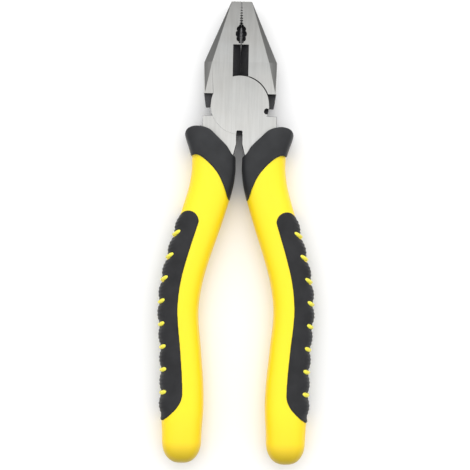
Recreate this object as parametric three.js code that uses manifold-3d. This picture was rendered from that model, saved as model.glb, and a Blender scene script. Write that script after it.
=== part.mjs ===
// Lineman pliers of the 200 mm class, shut, in millimetres.
//
// The origin is on the pivot axis, on the back face of the head. +Y runs to the jaw tips,
// -Y down the handles, and +Z along the pivot to the front face.
//
// Both halves come from one forging die. The front half has the left jaw, the front cheek of
// the lap joint and the right handle. The back half is the same, turned half a turn about Y.

import * as THREE from 'three';
import { ConvexGeometry } from 'three/addons/geometries/ConvexGeometry.js';
import { mergeVertices } from 'three/addons/utils/BufferGeometryUtils.js';
import Module from 'manifold-3d';

const wasm = await Module();
wasm.setup();

// Fits
const runGap = 0.3;              // between faces that turn on each other
const mouldGap = 0.3;            // between a moulding and what it sits on

// Head
const headThickness = 11;
const jawReach = 45.2;           // pivot axis to the jaw tips
const jawWidth = 31.8;           // across both jaws where they are widest
const jawWidestUp = 18.7;        // pivot axis to the widest place
const jawTipWidth = 8.9;
const jawTipThinning = 1.3;      // taken off each face at the tips
const jawShutGap = 0.3;          // between the shut jaws
const bevelWidth = 3.5;          // bevel along the jaws' outer edges, at its widest
const bevelDepth = 3;

// Gripping and cutting faces, measured down from the tips
const fineTeethFrom = 2.2;
const fineTeethTo = 10.1;
const fineTeethCount = 7;
const fineToothDepth = 0.35;
const fineGapEnd = 0.5;          // half the gap at the lower end of the fine teeth
const pipeGripTo = 18.2;
const pipeGripHalfWidth = 1.9;
const pipeTeethCount = 5;        // teeth down each side of the hollow
const pipeToothDepth = 0.45;
const pipeWebHalfThickness = 0.8; // the hollows in the two faces stop at a web this thick
const pipeWebGap = 0.4;          // half the slit between the jaws' webs
const pipeNarrowing = 0.32;      // the hollow's width at the web, as a share of its width at the face
const pipeShortening = 0.85;
const cutterFrom = 18.8;
const cutterHalfWidth = 3.4;     // half the width of the relief beside the blades
const cutterWallDepth = 1;
const bladeHalfThickness = 0.6;
const bladeSlitLength = 2.8;
const bladeSlitHalfWidth = 0.35;

// Lap joint
const openAngle = 30;            // degrees from shut to fully open
const stopAngle = 1.6;           // degrees left over at the stops
const bossRadius = 12.75;
const lugDrop = 2.5;             // stop lug below the face of its cheek
const lugReach = 0.9;            // how far the lug passes the pivot axis
const lugTaper = 0.85;           // the lug's outer side leans in by this much
const rivetRadius = 4;
const rivetHeadRadius = 5.2;
const rivetHeadDepth = 1.2;
const shearNotchDepth = 2.6;
const shearNotchWidth = 3;

// Neck, between the lap joint and the grips
const neckOverhang = 0.2;        // the shoulders stand this far outside the jaws
const slotHalfWidth = 1.3;
const slotIntoBoss = 1.65;       // the slot between the tangs bites into the round of the cheeks
const slotStraight = 4.25;       // cheeks' edge down to where the slot starts to widen

// Handles. "Down" is the distance from the pivot axis towards the handle ends.
const handleReach = 157;
const gripSetIn = 5.05;          // shoulder's outer side to the middle of the grip at the neck
const bowOut = 14;               // how far the handles bow out from the neck
const bowBack = 2.25;            // and how far they come back in at the ends
const gripHalfNeck = 9.5;
const gripHalfBow = 8.6;
const gripHalfHeel = 9.35;
const gripHalfThickness = 7.25;
const gripEndRound = 9;
const gripSquareness = 2.6;      // 2 is an ellipse, more is squarer
const sleeveSideWall = 2.5;      // tang to pad, across the grip
const sleeveFaceWall = 1.75;     // tang to pad, through its thickness
const tangShortfall = 15;        // tang end to grip end

// Guard collar
const collarTop = 9.4;
const collarFlareDown = 13;
const collarFlareOut = 7.7;      // how far the collar flares past the shoulder
const collarMouthWall = 2.6;     // collar over the head's faces at its mouth, and at its foot
const collarFootWall = 2.1;
const collarFootDown = 22.4;     // foot of the collar at the outer side of the grip
const collarEnd = 42;            // lowest point of the collar, at its inner side
const collarSquareness = 4;

// Pad on the outer side of the grip
const padTop = 46.5;
const padShortfall = 21;         // pad end to grip end
const padTopTaper = 7;
const padEndTaper = 12.5;
const padInset = 0.4;            // middle of the grip to the pad's edge
const padThickness = 2.5;
const padProud = 0.35;
const studCount = 8;
const studTopMargin = 8.4;       // pad top to the first stud
const studEndMargin = 11;
const studHalfWidth = 0.8;
const studReach = 3.4;           // outer edge to a stud's inner end
const studProud = 0.5;
const studTiltTop = 38;
const studTiltEnd = 14;

const middle = headThickness / 2;
const jawHalf = jawWidth / 2;
const heelHalf = jawHalf - 0.15;
const neckHalfWidth = jawHalf + neckOverhang;
const heelUp = neckHalfWidth * Math.tan(THREE.MathUtils.degToRad(openAngle / 2 + stopAngle));
const shoulderDown = heelUp;
const neckOffset = neckHalfWidth - gripSetIn;
const bowOffset = neckOffset + bowOut;
const endOffset = bowOffset - bowBack;
const neckInner = neckOffset - gripHalfNeck;
const tangHalfWidth = gripHalfBow - padThickness - sleeveSideWall;
const tangHalfThickness = gripHalfThickness - padThickness - sleeveFaceWall;
const beyond = 20;               // cutting solids run this far past what they cut
const rad = THREE.MathUtils.degToRad;
const lerp = THREE.MathUtils.lerp;
const point = (x, y) => new THREE.Vector2(x, y);

// Solids

function solidFrom(geometry) {
  const bare = geometry.clone();
  bare.deleteAttribute('normal');
  bare.deleteAttribute('uv');
  const welded = mergeVertices(bare, 1e-4);
  return new wasm.Manifold(new wasm.Mesh({
    numProp: 3,
    vertProperties: new Float32Array(welded.attributes.position.array),
    triVerts: new Uint32Array(welded.index.array),
  }));
}

function geometryFrom(solid) {
  const mesh = solid.getMesh();
  const geometry = new THREE.BufferGeometry();
  geometry.setAttribute('position', new THREE.Float32BufferAttribute(mesh.vertProperties, 3));
  geometry.setIndex(Array.from(mesh.triVerts));
  geometry.computeVertexNormals();
  return geometry;
}

function plate(outline, low, high) {
  const shape = new THREE.Shape(outline);
  const geometry = new THREE.ExtrudeGeometry(shape, { depth: high - low, bevelEnabled: false });
  return solidFrom(geometry.translate(0, 0, low));
}

function disc(radius, low, high) {
  const geometry = new THREE.CylinderGeometry(radius, radius, high - low, 64);
  return solidFrom(geometry.rotateX(Math.PI / 2).translate(0, 0, (low + high) / 2));
}

function hull(corners) {
  return solidFrom(new ConvexGeometry(corners.map(([x, y, z]) => new THREE.Vector3(x, y, z))));
}

// A closed skin over rings of equal size, with a fan over each end.
function loft(rings) {
  const sides = rings[0].length;
  const vertices = rings.flat();
  const faces = [];
  for (let ring = 0; ring < rings.length - 1; ring += 1) {
    for (let side = 0; side < sides; side += 1) {
      const next = (side + 1) % sides;
      const here = ring * sides;
      const below = here + sides;
      faces.push(here + side, here + next, below + side);
      faces.push(here + next, below + next, below + side);
    }
  }
  [0, rings.length - 1].forEach((ring) => {
    const hub = vertices.length;
    const sum = rings[ring].reduce((total, v) => total.add(v), new THREE.Vector3());
    vertices.push(sum.divideScalar(sides));
    for (let side = 0; side < sides; side += 1) {
      const a = ring * sides + side;
      const b = ring * sides + ((side + 1) % sides);
      faces.push(...(ring === 0 ? [hub, b, a] : [hub, a, b]));
    }
  });
  const geometry = new THREE.BufferGeometry().setFromPoints(vertices);
  geometry.setIndex(faces);
  return solidFrom(geometry);
}

// A smooth value through knots of [position, value].
function smooth(knots) {
  const slope = (i) => {
    const before = knots[Math.max(i - 1, 0)];
    const after = knots[Math.min(i + 1, knots.length - 1)];
    return (after[1] - before[1]) / (after[0] - before[0]);
  };
  return (position) => {
    const last = knots.length - 2;
    const found = knots.findIndex((knot) => knot[0] > position) - 1;
    const i = THREE.MathUtils.clamp(found < -1 ? last : found, 0, last);
    const span = knots[i + 1][0] - knots[i][0];
    const t = THREE.MathUtils.clamp((position - knots[i][0]) / span, 0, 1);
    const rise = knots[i + 1][1] - knots[i][1];
    const bendStart = slope(i) * span - rise;
    const bendEnd = rise - slope(i + 1) * span;
    return knots[i][1] + t * rise + t * (1 - t) * (bendStart * (1 - t) + bendEnd * t);
  };
}

// Moves each corner of an anticlockwise outline outwards, square to both its sides.
function outset(outline, distance) {
  const sides = outline.length;
  return outline.map((corner, i) => {
    const into = corner.clone().sub(outline[(i + sides - 1) % sides]).normalize();
    const out = outline[(i + 1) % sides].clone().sub(corner).normalize();
    const normal = point(into.y + out.y, -into.x - out.x).normalize();
    const reach = distance / Math.max(normal.dot(point(out.y, -out.x)), 0.5);
    return corner.clone().addScaledVector(normal, reach);
  });
}

// Handle rails

const gripDown = (share) => collarEnd + share * (handleReach - collarEnd);
const outward = (share) => neckOffset + share * (bowOffset - neckOffset);
const inward = (share) => bowOffset + share * (endOffset - bowOffset);

const gripMiddle = smooth([
  [0, neckOffset],
  [23, neckOffset],
  [29, outward(0.0)],
  [37, outward(0.09)],
  [gripDown(0.09), outward(0.41)],
  [gripDown(0.21), outward(0.71)],
  [gripDown(0.31), outward(0.91)],
  [gripDown(0.42), bowOffset],
  [gripDown(0.57), inward(0.55)],
  [gripDown(0.68), inward(0.9)],
  [gripDown(0.78), endOffset],
  [handleReach, endOffset],
]);

const gripHalf = smooth([
  [0, gripHalfNeck],
  [24, gripHalfNeck],
  [gripDown(0.09), gripHalfNeck + 0.2],
  [gripDown(0.42), gripHalfBow],
  [gripDown(0.57), gripHalfBow + 0.15],
  [gripDown(0.78), gripHalfHeel],
  [gripDown(0.88), gripHalfBow + 0.1],
  [handleReach, gripHalfBow - 0.3],
]);

const gripOuter = (down) => gripMiddle(down) + gripHalf(down);

function section(down, centre, halfWidth, halfThickness, squareness, sides = 20) {
  const power = 2 / squareness;
  return Array.from({ length: sides }, (_, side) => {
    const angle = (side / sides) * Math.PI * 2;
    const across = Math.sign(Math.cos(angle)) * Math.abs(Math.cos(angle)) ** power;
    const through = Math.sign(Math.sin(angle)) * Math.abs(Math.sin(angle)) ** power;
    return new THREE.Vector3(centre + across * halfWidth, -down, middle + through * halfThickness);
  });
}

// Evenly spaced places down a handle.
function stations(from, to, spacing) {
  const count = Math.ceil((to - from) / spacing);
  return Array.from({ length: count + 1 }, (_, i) => lerp(from, to, i / count));
}

// The whole grip, made smaller all round by an inset or bigger by a negative one.
function gripBody(inset) {
  const end = handleReach - inset;
  const roundFrom = end - gripEndRound;
  const ring = (down, shrink) => section(
    down,
    gripMiddle(down),
    (gripHalf(down) - inset) * shrink,
    (gripHalfThickness - inset) * shrink,
    gripSquareness,
  );
  const roundSteps = [18, 36, 54, 70, 82].map(rad);
  return loft([
    ...stations(18, roundFrom, 7).map((down) => ring(down, 1)),
    ...roundSteps.map((angle) => ring(roundFrom + gripEndRound * Math.sin(angle), Math.cos(angle))),
  ]);
}

function tangBody(grow) {
  const places = stations(19 - grow, handleReach - tangShortfall + grow, 8);
  return loft(places.map((down) => section(
    down,
    gripMiddle(down),
    tangHalfWidth + grow,
    tangHalfThickness + grow,
    5,
    16,
  )));
}

// Forging

// Down the left jaw's inner face, as [x, y] places that bound its steel.
function jawFace() {
  const shut = jawShutGap / 2;
  const face = [point(-shut, jawReach)];
  for (let tooth = 0; tooth < fineTeethCount; tooth += 1) {
    const top = tooth / fineTeethCount;
    const root = (tooth + 0.5) / fineTeethCount;
    const crestX = lerp(shut, fineGapEnd, top);
    const rootX = lerp(shut, fineGapEnd, root) + fineToothDepth;
    face.push(point(-crestX, jawReach - lerp(fineTeethFrom, fineTeethTo, top)));
    face.push(point(-rootX, jawReach - lerp(fineTeethFrom, fineTeethTo, root)));
  }
  face.push(point(-fineGapEnd, jawReach - fineTeethTo));
  face.push(point(-pipeWebGap, jawReach - fineTeethTo - 1));
  face.push(point(-pipeWebGap, jawReach - pipeGripTo));
  face.push(point(-bladeSlitHalfWidth, jawReach - pipeGripTo - 0.2));
  face.push(point(-bladeSlitHalfWidth, jawReach - cutterFrom));
  face.push(point(-shut, jawReach - cutterFrom - bladeSlitLength));
  face.push(point(-shut, bossRadius / 2));
  return face;
}

// The pipe grip is a toothed oval hollow in each face, which narrows towards the web.
function pipeHollows() {
  const centre = jawReach - (fineTeethTo + pipeGripTo) / 2;
  const halfLength = (pipeGripTo - fineTeethTo) / 2;
  const ring = (z, wide, long) => stations(0, 360, 180 / (2 * pipeTeethCount)).slice(1)
    .map((turn, i) => new THREE.Vector3(
      Math.sin(rad(turn)) * (pipeGripHalfWidth + (i % 2) * pipeToothDepth) * wide,
      centre + Math.cos(rad(turn)) * halfLength * long,
      z,
    ));
  return [1, -1].map((front) => {
    const rings = [
      ring(middle + front * (middle + beyond), 1, 1),
      ring(middle + front * middle, 1, 1),
      ring(middle + front * pipeWebHalfThickness, pipeNarrowing, pipeShortening),
    ];
    return loft(front > 0 ? rings : rings.reverse());
  });
}

function jawPlate() {
  const outline = [
    ...jawFace(),
    point(-bossRadius / 2, heelUp),
    point(-heelHalf, heelUp),
    point(-jawHalf, jawWidestUp),
    point(-jawTipWidth / 2, jawReach),
  ];
  return plate(outline.reverse(), 0, headThickness);
}

// The outline of the neck, from the cheek down into the guard collar.
function neckOutline() {
  return [
    point(slotHalfWidth, -bossRadius - slotStraight),
    point(neckInner + 0.95, -21.8),
    point(neckInner + 2.65, -25.4),
    point(neckInner + 3.85, -26.6),
    point(neckInner + 6.95, -25.6),
    point(neckHalfWidth - 4.1, -22.6),
    point(neckHalfWidth - 0.7, -19.2),
    point(neckHalfWidth, -14),
    point(neckHalfWidth, -shoulderDown),
    point(bossRadius / 2, -shoulderDown),
    point(bossRadius / 2, 0),
    point(slotHalfWidth, -bossRadius / 2),
  ];
}

// Thins both faces from the widest place of the jaws to the tips.
function thinning() {
  const side = jawHalf + 1;
  const tip = jawReach + 1;
  return [0, 1].map((front) => {
    const face = front ? headThickness : 0;
    const away = front ? beyond : -beyond;
    const thin = front ? -jawTipThinning : jawTipThinning;
    return hull([-side, side].flatMap((x) => [
      [x, jawWidestUp, face], [x, tip, face + thin],
      [x, jawWidestUp, face + away], [x, tip, face + away],
    ]));
  });
}

// Bevels along the left jaw's outer edge, on both faces.
function edgeBevels() {
  return [0, 1].map((front) => {
    const face = front ? headThickness : 0;
    const sign = front ? 1 : -1;
    const tipFace = face - sign * jawTipThinning;
    const low = face - sign * bevelDepth;
    const out = face + sign * beyond;
    const widest = [
      [-jawHalf + bevelWidth, jawWidestUp, face], [-jawHalf - 0.01, jawWidestUp, low],
      [-jawHalf + bevelWidth, jawWidestUp, out], [-jawHalf - beyond, jawWidestUp, low],
      [-jawHalf - beyond, jawWidestUp, out],
    ];
    const tip = [
      [-jawTipWidth / 2, jawReach, tipFace], [-jawTipWidth / 2 - beyond, jawReach, tipFace],
      [-jawTipWidth / 2, jawReach, out],
    ];
    const heel = [
      [-heelHalf + 0.4, heelUp, face], [-heelHalf - beyond, heelUp, face],
      [-heelHalf + 0.4, heelUp, out],
    ];
    return hull([...widest, ...tip]).add(hull([...widest, ...heel]));
  });
}

// Relief on both sides of the blades, down to the cheek's round edge.
function cutterRelief() {
  const top = jawReach - cutterFrom;
  const relief = [0, 1].map((front) => {
    const sign = front ? 1 : -1;
    const face = middle + sign * middle;
    return hull([top, 0].flatMap((y) => [-1, 1].flatMap((side) => [
      [side * cutterHalfWidth, y, face + sign * beyond],
      [side * cutterHalfWidth, y, face - sign * cutterWallDepth],
      [side * jawShutGap / 2, y, middle + sign * bladeHalfThickness],
    ])));
  });
  return relief[0].add(relief[1]).subtract(disc(bossRadius, -beyond, headThickness + beyond));
}

function rivetBody(grow) {
  const shaft = rivetRadius + grow;
  const head = rivetHeadRadius + grow;
  const ends = grow > 0 ? beyond : 0;
  const profile = [
    point(0, -ends), point(head, -ends), point(head, 0), point(shaft, rivetHeadDepth),
    point(shaft, headThickness - rivetHeadDepth), point(head, headThickness),
    point(head, headThickness + ends), point(0, headThickness + ends),
  ].filter((p, i, all) => i === 0 || p.distanceTo(all[i - 1]) > 0);
  return solidFrom(new THREE.LatheGeometry(profile, 48).rotateX(Math.PI / 2));
}

// The stop lug below the left jaw, set back from the cheek's face.
function stopLug() {
  const outline = [
    point(-heelHalf, heelUp + 1), point(-heelHalf, heelUp),
    point(lugTaper - heelHalf, -lugReach), point(0.5 - bossRadius, -lugReach),
    point(3 - bossRadius, heelUp + 1),
  ];
  return plate(outline, middle + runGap / 2, headThickness - lugDrop);
}

// Room behind the right shoulder for the other half's lug as the pliers open.
function lugRoom() {
  const radius = neckHalfWidth + 4;
  const lugAngle = THREE.MathUtils.radToDeg(Math.atan2(lugReach, bossRadius - 0.5));
  const end = lugAngle + openAngle + stopAngle;
  const arc = stations(0, end, 6).map((turn) => point(
    radius * Math.cos(rad(turn)),
    -radius * Math.sin(rad(turn)),
  ));
  return plate([point(0, 0), ...arc].reverse(), lugDrop - runGap, middle + runGap / 2);
}

function slotBetweenTangs() {
  const top = bossRadius - slotIntoBoss;
  const arc = stations(0, 180, 20).map((turn) => point(
    slotHalfWidth * Math.cos(rad(turn)),
    -top - slotHalfWidth + slotHalfWidth * Math.sin(rad(turn)),
  ));
  const outline = [...arc, point(-slotHalfWidth, -40), point(slotHalfWidth, -40)];
  return plate(outline, -beyond, headThickness + beyond);
}

function shearNotch() {
  const edge = bossRadius + 1;
  const mouth = -lugReach - shearNotchWidth / 2;
  return plate([
    point(bossRadius - shearNotchDepth, mouth + 0.6),
    point(edge, mouth - shearNotchWidth / 2),
    point(edge, mouth + shearNotchWidth / 2),
  ], middle, headThickness + beyond);
}

function makeForging() {
  let forging = jawPlate().add(plate(neckOutline(), 0, headThickness));
  forging = forging.subtract(disc(bossRadius + runGap, -beyond, middle + runGap / 2));
  forging = forging.add(disc(bossRadius, middle + runGap / 2, headThickness));
  forging = forging.subtract(lugRoom()).add(stopLug());
  [
    ...thinning(), ...edgeBevels(), ...pipeHollows(), cutterRelief(), slotBetweenTangs(),
    shearNotch(), rivetBody(runGap),
  ].forEach((cut) => {
    forging = forging.subtract(cut);
  });
  return forging.add(tangBody(0));
}

// Guard collar

const collarFlareX = neckHalfWidth + collarFlareOut;
const collarFootPast = 2.2;      // the foot's edge runs on past the grip by this much

// From the outer side of the grip to its inner side, along the collar's lower edge.
function collarFoot() {
  return new THREE.SplineCurve([
    point(neckOffset + 16, 0.8 - collarFootDown), point(neckOffset + 11, -collarFootDown),
    point(neckOffset + 7.2, 0.5 - collarFootDown), point(neckOffset + 3, -24.6),
    point(neckOffset - 2, -30.2), point(neckOffset - 4.9, -36),
    point(neckOffset - 7, 0.2 - collarEnd), point(neckOffset - 10.5, -collarEnd - collarFootPast),
  ]).getPoints(28);
}

function collarOutline() {
  const mouth = new THREE.SplineCurve([
    point(neckInner - 4.5, -24), point(neckInner + 0.85, -22), point(neckInner + 3.75, -18),
    point(neckHalfWidth - 6.8, -14), point(neckHalfWidth - 2.7, -collarTop - 1.1),
    point(neckHalfWidth + 2.5, -collarTop), point(collarFlareX - 1.4, -collarTop - 1.1),
    point(collarFlareX, -collarFlareDown), point(collarFlareX - 0.5, -16),
    point(collarFlareX + 0.7, -19.5),
  ]).getPoints(36);
  return [...mouth, ...collarFoot(), point(neckInner - 4.5, -collarEnd - collarFootPast)].reverse();
}

function collarBody() {
  const half = smooth([
    [8, collarFlareX - neckOffset - 1], [collarFlareDown, collarFlareX - neckOffset - 1],
    [19.3, gripHalfNeck + 0.85], [23, gripHalfNeck + 0.15], [28, gripHalfNeck + 0.1],
    [collarEnd + 4, gripHalf(collarEnd + 4) + 0.1],
  ]);
  const centre = smooth([
    [8, neckOffset + 1], [collarFlareDown, neckOffset + 1], [20, neckOffset + 0.4],
    [26, neckOffset], [34, gripMiddle(34)], [collarEnd + 4, gripMiddle(collarEnd + 4)],
  ]);
  const thick = smooth([
    [8, middle + collarMouthWall], [collarFlareDown, middle + collarMouthWall],
    [22, middle + collarFootWall], [collarEnd + 4, gripHalfThickness + 0.1],
  ]);
  const square = smooth([
    [8, collarSquareness], [26, collarSquareness], [collarEnd + 4, gripSquareness],
  ]);
  return loft(stations(8, collarEnd + 4, 4).map((down) => section(
    down, centre(down), half(down), thick(down), square(down),
  )));
}

function tangRoom() {
  const neck = outset(neckOutline(), mouldGap);
  return plate(neck, -mouldGap, headThickness + mouldGap).add(tangBody(mouldGap));
}

function makeCollar() {
  const outline = collarOutline();
  return collarBody()
    .intersect(plate(outline, -beyond, headThickness + beyond))
    .subtract(tangRoom());
}

// Pad and studs

const padEnd = handleReach - padShortfall;

// The pad's edge runs beside the middle of the grip and curves out at both ends.
function padOutline(grow) {
  const top = padTop - grow;
  const end = padEnd + grow;
  const edge = stations(top, end, 3.6).map((down) => {
    const intoTop = Math.max(0, 1 - (down - top) / padTopTaper);
    const intoEnd = Math.max(0, 1 - (end - down) / padEndTaper);
    const curve = 2 - Math.sqrt(1 - intoTop ** 2) - Math.sqrt(1 - intoEnd ** 2);
    const inner = gripMiddle(down) + padInset - grow;
    return point(lerp(inner, gripOuter(down) + 1, curve), -down);
  });
  const outer = bowOffset + gripHalfHeel + beyond;
  return [...edge, point(outer, -end), point(outer, -top)];
}

const padPrism = (grow) => plate(padOutline(grow), -beyond, headThickness + beyond);

// Each stud is a bar with a round inner end that runs out over the edge of the grip.
function studPrisms(grow) {
  const first = padTop + studTopMargin;
  const last = padEnd - studEndMargin;
  return Array.from({ length: studCount }, (_, i) => {
    const share = i / (studCount - 1);
    const down = lerp(first, last, share);
    const tilt = rad(lerp(studTiltTop, studTiltEnd, share));
    const along = point(Math.cos(tilt), -Math.sin(tilt));
    const across = point(Math.sin(tilt), Math.cos(tilt));
    const half = studHalfWidth + grow;
    const inner = point(gripOuter(down) - studReach, -down).addScaledVector(along, studHalfWidth);
    const end = stations(90, 270, 45).map((turn) => inner.clone()
      .addScaledVector(along, half * Math.cos(rad(turn)))
      .addScaledVector(across, half * Math.sin(rad(turn))));
    const far = inner.clone().addScaledVector(along, studReach + 4);
    const outline = [
      ...end, far.clone().addScaledVector(across, -half), far.clone().addScaledVector(across, half),
    ];
    return plate(outline, -beyond, headThickness + beyond);
  }).reduce((all, stud) => all.add(stud));
}

function makePad() {
  return gripBody(-padProud)
    .subtract(gripBody(padThickness))
    .intersect(padPrism(0))
    .subtract(studPrisms(mouldGap));
}

// Sleeve

function makeSleeve() {
  const foot = collarFoot();
  const farSide = bowOffset + beyond * 2;
  const below = [
    point(farSide, foot[0].y), ...foot, point(-beyond, foot[foot.length - 1].y),
    point(-beyond, -handleReach - beyond), point(farSide, -handleReach - beyond),
  ];
  const sleeveArea = plate(outset(below, -mouldGap), -beyond, headThickness + beyond);
  const padRoom = padPrism(mouldGap).subtract(gripBody(padThickness + mouldGap));
  const studs = gripBody(-studProud).intersect(studPrisms(0));
  return gripBody(0)
    .intersect(sleeveArea)
    .subtract(padRoom)
    .add(studs)
    .subtract(tangRoom());
}

// Assembly

const steel = () => new THREE.MeshStandardMaterial({
  color: 0xc6c5c0, roughness: 0.36, metalness: 1,
});
const yellow = () => new THREE.MeshStandardMaterial({
  color: 0xffe11a, roughness: 0.38, metalness: 0,
});
const black = () => new THREE.MeshStandardMaterial({
  color: 0x2e2e2e, roughness: 0.78, metalness: 0,
});

const forging = geometryFrom(makeForging());
const collar = geometryFrom(makeCollar());
const pad = geometryFrom(makePad());
const sleeve = geometryFrom(makeSleeve());

function named(name, geometry, material) {
  const mesh = new THREE.Mesh(geometry, material);
  mesh.name = name;
  return mesh;
}

function pliersHalf(half, hand) {
  const group = new THREE.Group();
  group.add(
    named(`${half}_half_forging`, forging, steel()),
    named(`${hand}_grip_sleeve`, sleeve, yellow()),
    named(`${hand}_guard_collar`, collar, black()),
    named(`${hand}_grip_pad`, pad, black()),
  );
  return group;
}

const pliers = new THREE.Group();
const frontHalf = pliersHalf('front', 'right');
const backHalf = pliersHalf('back', 'left');
backHalf.rotation.y = Math.PI;
backHalf.position.z = headThickness;
pliers.add(frontHalf, backHalf, named('pivot_rivet', geometryFrom(rivetBody(0)), steel()));

export default pliers;
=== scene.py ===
import math

import bmesh
import bpy
import numpy as np
from mathutils import Matrix, Vector


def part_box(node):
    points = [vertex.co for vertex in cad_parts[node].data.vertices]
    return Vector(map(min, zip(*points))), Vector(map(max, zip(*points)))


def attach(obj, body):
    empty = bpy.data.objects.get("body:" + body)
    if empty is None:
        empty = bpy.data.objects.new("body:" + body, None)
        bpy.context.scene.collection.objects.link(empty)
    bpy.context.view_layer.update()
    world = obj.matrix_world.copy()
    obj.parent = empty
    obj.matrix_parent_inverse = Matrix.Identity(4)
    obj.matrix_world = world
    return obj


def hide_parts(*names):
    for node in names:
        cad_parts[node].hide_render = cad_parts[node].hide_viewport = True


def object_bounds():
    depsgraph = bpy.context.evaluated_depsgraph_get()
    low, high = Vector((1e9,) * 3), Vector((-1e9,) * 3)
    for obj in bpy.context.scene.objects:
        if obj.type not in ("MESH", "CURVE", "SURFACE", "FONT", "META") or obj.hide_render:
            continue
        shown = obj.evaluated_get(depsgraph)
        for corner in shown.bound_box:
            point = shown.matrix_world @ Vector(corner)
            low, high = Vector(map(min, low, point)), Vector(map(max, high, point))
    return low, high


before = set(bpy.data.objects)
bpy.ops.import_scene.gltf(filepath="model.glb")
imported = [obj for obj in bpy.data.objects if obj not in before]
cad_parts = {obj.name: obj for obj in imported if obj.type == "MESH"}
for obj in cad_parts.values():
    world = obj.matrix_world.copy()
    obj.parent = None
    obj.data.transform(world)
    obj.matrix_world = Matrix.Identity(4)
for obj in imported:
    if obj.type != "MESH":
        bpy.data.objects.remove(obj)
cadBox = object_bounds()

# Outlines and sizes below are in millimetres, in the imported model's frame. The right-hand
# handle and the left jaw belong to the front half; the back half is the same, turned over.
mm = 0.001
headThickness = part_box("pivot_rivet")[1].z / mm
middle = headThickness / 2
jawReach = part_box("front_half_forging")[1].y / mm
jawHalf = -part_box("front_half_forging")[0].x / mm
handleReach = -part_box("right_grip_sleeve")[0].y / mm
farAway = 25  # cutting shapes run this far past what they cut


# Plain helpers

def newPiece(name, vertices, faces, scale=mm):
    mesh = bpy.data.meshes.new(name)
    points = (np.array(vertices, float) * scale).tolist()
    mesh.from_pydata(points, [], [list(map(int, face)) for face in faces])
    mesh.validate()
    piece = bpy.data.objects.new(name, mesh)
    bpy.context.scene.collection.objects.link(piece)
    return piece


def prism(outline, low, high, name="cutter"):
    flat = [tuple(p) for p in outline]
    turn = sum(a[0] * b[1] - b[0] * a[1] for a, b in zip(flat, flat[1:] + flat[:1]))
    if turn < 0:
        flat.reverse()
    count = len(flat)
    vertices = [(x, y, low) for x, y in flat] + [(x, y, high) for x, y in flat]
    sides = [(i, (i + 1) % count, (i + 1) % count + count, i + count) for i in range(count)]
    return newPiece(name, vertices, [list(range(count))[::-1], list(range(count, 2 * count))] + sides)


def circle(radius, steps=128, centre=(0, 0), start=0.0, end=360.0):
    closed = abs(end - start) >= 360
    angles = np.radians(np.linspace(start, end, steps, endpoint=not closed))
    return [(centre[0] + radius * math.cos(a), centre[1] + radius * math.sin(a)) for a in angles]


def hull(corners, name="cutter"):
    piece = newPiece(name, corners, [])
    shape = bmesh.new()
    shape.from_mesh(piece.data)
    found = bmesh.ops.convex_hull(shape, input=shape.verts)
    inside = [v for v in found["geom_interior"] if isinstance(v, bmesh.types.BMVert)]
    bmesh.ops.delete(shape, geom=inside, context="VERTS")
    bmesh.ops.recalc_face_normals(shape, faces=shape.faces)
    shape.to_mesh(piece.data)
    shape.free()
    return piece


def spun(profile, steps=96, name="cutter"):
    # profile is [radius, height] pairs that start and end on the axis
    inner = profile[1:-1]
    vertices = [(0, 0, profile[0][1])]
    for radius, height in inner:
        vertices += [(x, y, height) for x, y in circle(radius, steps)]
    vertices.append((0, 0, profile[-1][1]))
    last = len(vertices) - 1
    faces = []
    for i in range(steps):
        j = (i + 1) % steps
        faces.append((0, 1 + j, 1 + i))
        for ring in range(len(inner) - 1):
            low = 1 + ring * steps
            faces.append((low + i, low + j, low + steps + j, low + steps + i))
        top = 1 + (len(inner) - 1) * steps
        faces.append((last, top + i, top + j))
    return newPiece(name, vertices, faces)


def loft(rings, name="cutter"):
    rings = [np.array(ring, float) for ring in rings]
    sides = len(rings[0])
    vertices = np.vstack(rings + [rings[0].mean(0)[None], rings[-1].mean(0)[None]])
    faces = []
    for i in range(sides):
        j = (i + 1) % sides
        for ring in range(len(rings) - 1):
            here, below = ring * sides, (ring + 1) * sides
            faces.append((here + i, here + j, below + j, below + i))
        first, last = len(rings) * sides, (len(rings) - 1) * sides
        faces.append((first, j, i))
        faces.append((first + 1, last + i, last + j))
    return newPiece(name, vertices, faces)


def bake(piece):
    # turns the piece and its modifiers into a plain mesh
    view = bpy.context.evaluated_depsgraph_get()
    mesh = bpy.data.meshes.new_from_object(piece.evaluated_get(view))
    piece.modifiers.clear()
    piece.data = mesh
    return piece


def combine(piece, tool, how, solver="EXACT", crossing=False):
    step = piece.modifiers.new("combine", "BOOLEAN")
    step.operation, step.solver, step.object = how, solver, tool
    step.use_self = crossing
    bake(piece)
    bpy.data.objects.remove(tool)
    return piece


def cut(piece, *tools, solver="EXACT"):
    for tool in tools:
        combine(piece, tool, "DIFFERENCE", solver)
    return piece


def join(piece, *tools):
    for tool in tools:
        combine(piece, tool, "UNION")
    return piece


def tidyMesh(piece, weld=0.002):
    shape = bmesh.new()
    shape.from_mesh(piece.data)
    bmesh.ops.remove_doubles(shape, verts=shape.verts, dist=weld * mm)
    shape.to_mesh(piece.data)
    shape.free()
    return piece


def shadeByAngle(piece, degrees=35, weighted=False):
    shape = bmesh.new()
    shape.from_mesh(piece.data)
    limit = math.radians(degrees)
    for face in shape.faces:
        face.smooth = True
    for edge in shape.edges:
        edge.smooth = len(edge.link_faces) == 2 and edge.calc_face_angle(0) < limit
        if weighted and edge.smooth:
            # the broad ground facets keep a crisp line between them
            broad = min(face.calc_area() for face in edge.link_faces) > 4 * mm * mm
            edge.smooth = not (broad and edge.calc_face_angle(0) > math.radians(1.5))
    shape.to_mesh(piece.data)
    shape.free()
    if weighted:
        even = piece.modifiers.new("evenNormals", "WEIGHTED_NORMAL")
        even.keep_sharp, even.weight = True, 100
        bake(piece)
    return piece


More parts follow.
